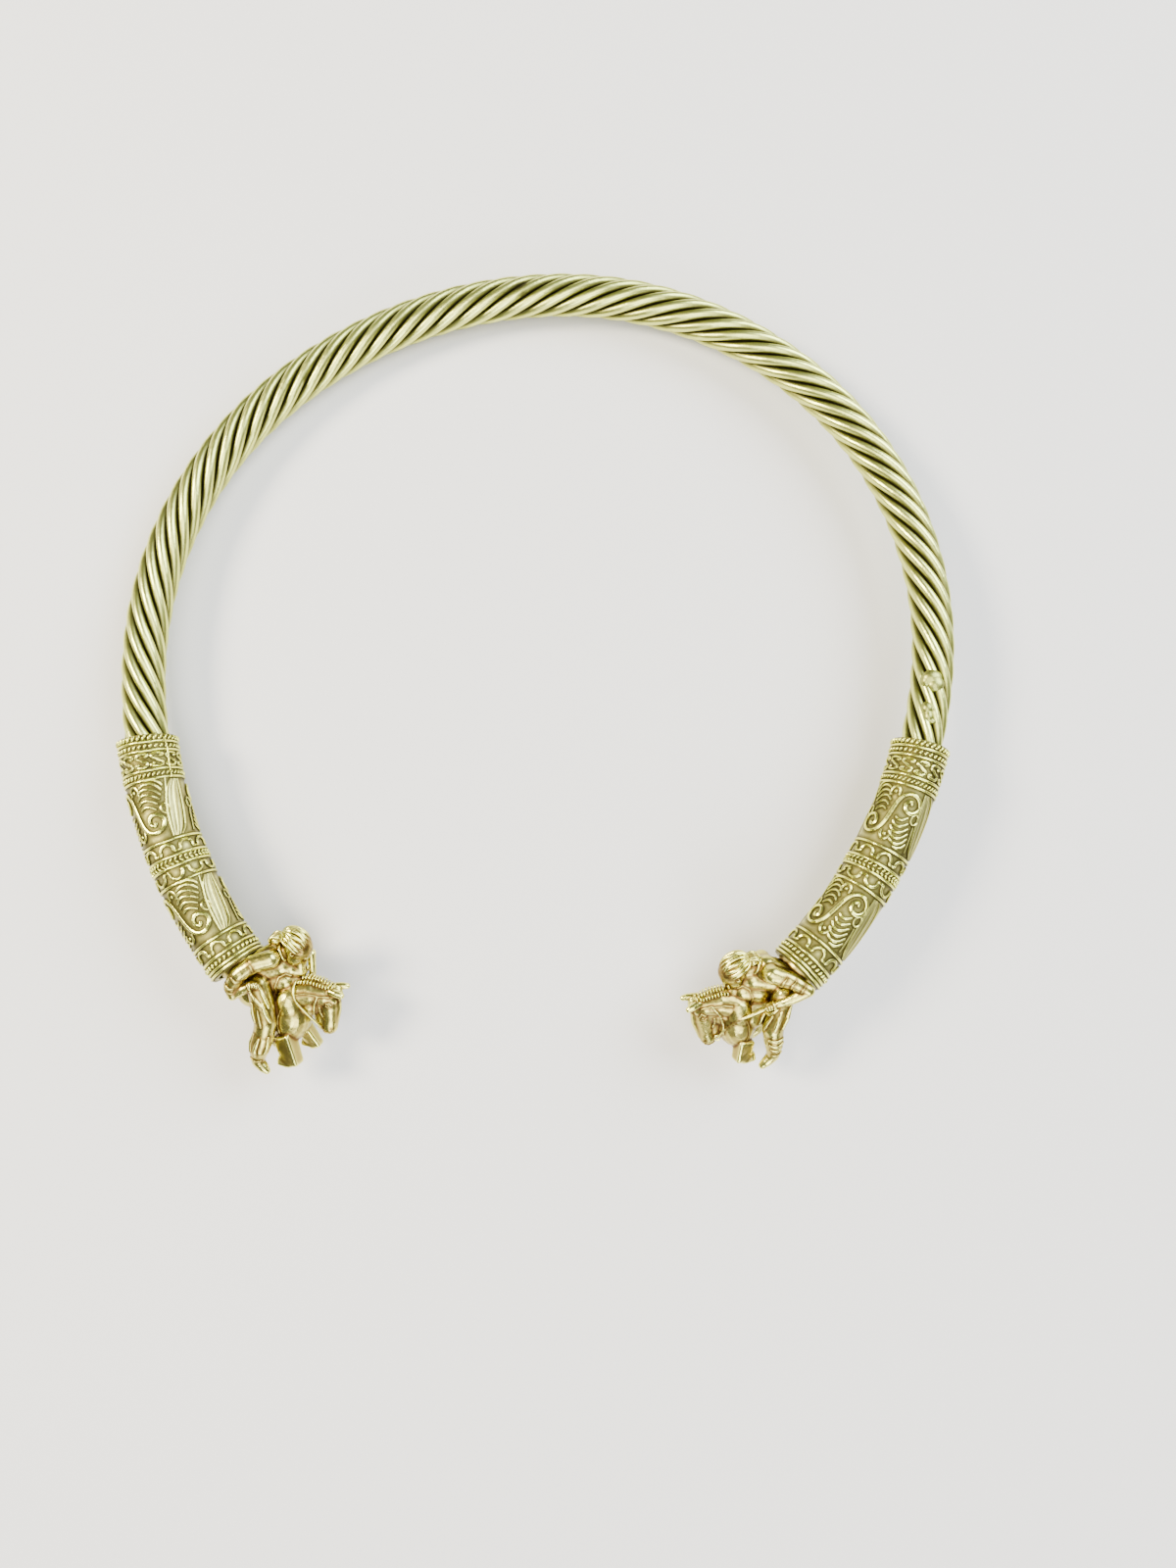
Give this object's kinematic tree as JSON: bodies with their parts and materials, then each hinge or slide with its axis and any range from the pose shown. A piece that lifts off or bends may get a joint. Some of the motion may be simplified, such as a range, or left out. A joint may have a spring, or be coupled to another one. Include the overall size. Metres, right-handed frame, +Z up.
{
  "type": "torc",
  "caption": "Open neck ring of gilt wires twisted round a rod, with wire-ornamented end sleeves and cast terminals of a rider on a horse's forequarters.",
  "frame": {"origin": "middle of the bounding box in X and Y, on the surface that the ring lies on", "axes": "+Z up from that surface, +Y towards the back of the hoop, so the mouth opens towards -Y, and +X to the right as seen from above"},
  "size_m": [0.1324, 0.1296, 0.0158],
  "materials": {
    "hoop_wire": "gilt satin with dark grooves",
    "core_metal": "dull and tarnished",
    "sleeve_metal": "gilt, polished relief over matt recesses",
    "terminal_metal": "gilt and polished"
  },
  "bodies": {
    "root": {"strand_1": "hoop_wire", "strand_2": "hoop_wire", "strand_3": "hoop_wire", "strand_4": "hoop_wire", "strand_5": "hoop_wire", "strand_6": "hoop_wire", "strand_7": "hoop_wire", "strand_8": "hoop_wire", "core_rod": "core_metal", "sleeve_left": "sleeve_metal", "sleeve_right": "sleeve_metal", "finial_left": "terminal_metal", "finial_right": "terminal_metal"}
  },
  "joints": []
}
